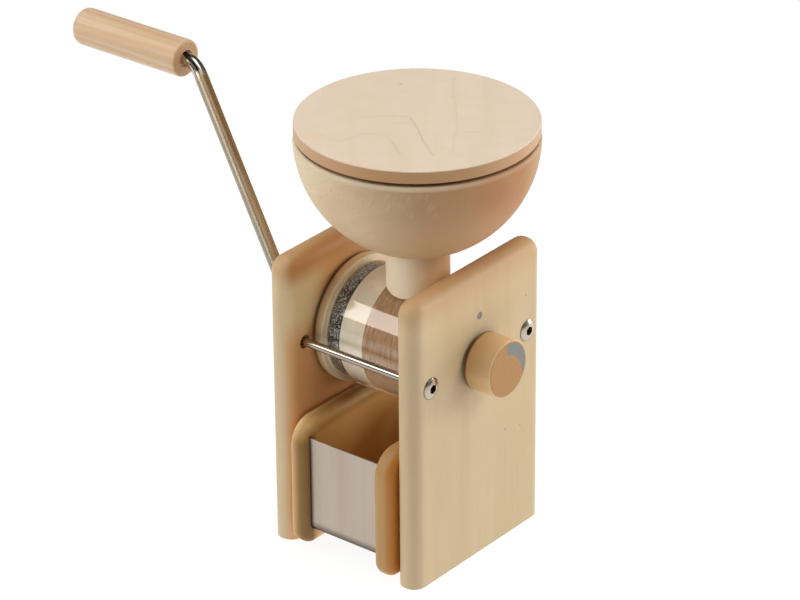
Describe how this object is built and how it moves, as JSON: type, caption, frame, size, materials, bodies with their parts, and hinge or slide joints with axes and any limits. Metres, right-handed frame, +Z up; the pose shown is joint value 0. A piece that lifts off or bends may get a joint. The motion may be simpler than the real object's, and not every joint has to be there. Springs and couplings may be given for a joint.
{
  "type": "hand grain mill",
  "caption": "Wooden hand-cranked grain mill with a round hopper bowl, clear milling chamber with stones, grind knob and a flour tray that slides out.",
  "frame": {"origin": "middle of the bounding box at table height, in line with the milling axis; the boards stand to its +X side because the crank reaches out to -X", "axes": "+Z up, +X along the milling axis from the crank towards the knob, -Y towards the front where the tray comes out"},
  "size_m": [0.4336, 0.169, 0.3192],
  "materials": {
    "pale_wood": "sanded, oiled",
    "feed_block_wood": "turned",
    "bright_steel": "polished",
    "chromed_steel": "polished",
    "plain_steel": "turned",
    "stainless_sheet": "brushed",
    "bearing_brass": "turned",
    "clear_plastic": "clear",
    "cream_ceramic": "matt",
    "bed_stone": "dressed",
    "grey_stone": "dressed",
    "grey_mark": "matt"
  },
  "bodies": {
    "frame": {"left_board": "pale_wood", "right_board": "pale_wood", "tie_rod_front": "bright_steel", "tie_rod_rear": "bright_steel", "tie_cap_front_left": "chromed_steel", "tie_cap_front_right": "chromed_steel", "tie_cap_rear_left": "chromed_steel", "tie_cap_rear_right": "chromed_steel", "chamber_flange": "pale_wood", "chamber_tube": "clear_plastic", "stone_holder": "cream_ceramic", "bed_stone": "bed_stone", "feed_block": "feed_block_wood", "hopper_bowl": "pale_wood", "shaft_bush": "bearing_brass", "knob_insert": "bearing_brass", "index_dot": "grey_mark", "tray_runner_left": "pale_wood", "tray_runner_right": "pale_wood"},
    "carriage": {"thrust_washer": "plain_steel"},
    "rotor": {"main_shaft": "plain_steel", "runner_stone": "grey_stone", "stone_driver": "plain_steel", "drive_pin": "plain_steel", "feed_worm": "plain_steel", "shaft_clip": "plain_steel", "crank_rod": "bright_steel", "crank_nut": "plain_steel", "grip_cap": "plain_steel"},
    "grip": {"crank_grip": "pale_wood"},
    "knob": {"knob": "pale_wood", "knob_spindle": "bearing_brass", "knob_mark": "grey_mark"},
    "tray": {"tray_cheek_left": "pale_wood", "tray_cheek_right": "pale_wood", "tray_trough": "stainless_sheet"},
    "lid": {"lid": "pale_wood"}
  },
  "joints": [
    {"name": "stone_gap", "type": "slide", "parent": "frame", "child": "carriage", "axis": [1, 0, 0], "range_m": [0, 0.000624]},
    {"name": "knob_turn", "type": "hinge", "parent": "carriage", "child": "knob", "pos_m": [0.1208, 0, 0.153], "axis": [1, 0, 0], "range_deg": [0, 150]},
    {"name": "crank_turn", "type": "hinge", "parent": "carriage", "child": "rotor", "pos_m": [0.1208, 0, 0.153], "axis": [1, 0, 0], "continuous": true},
    {"name": "grip_spin", "type": "hinge", "parent": "rotor", "child": "grip", "pos_m": [-0.1662, 0.04501, 0.28081], "axis": [1, 0, 0], "continuous": true},
    {"name": "tray_slide", "type": "slide", "parent": "frame", "child": "tray", "axis": [0, -1, 0], "range_m": [0, 0.1]},
    {"name": "lid_lift", "type": "slide", "parent": "frame", "child": "lid", "axis": [0, 0, 1], "range_m": [0, 0.08]}
  ],
  "couplings": [
    {"joint": "knob_turn", "follows": "stone_gap", "rad_per_m": 4188.8}
  ]
}
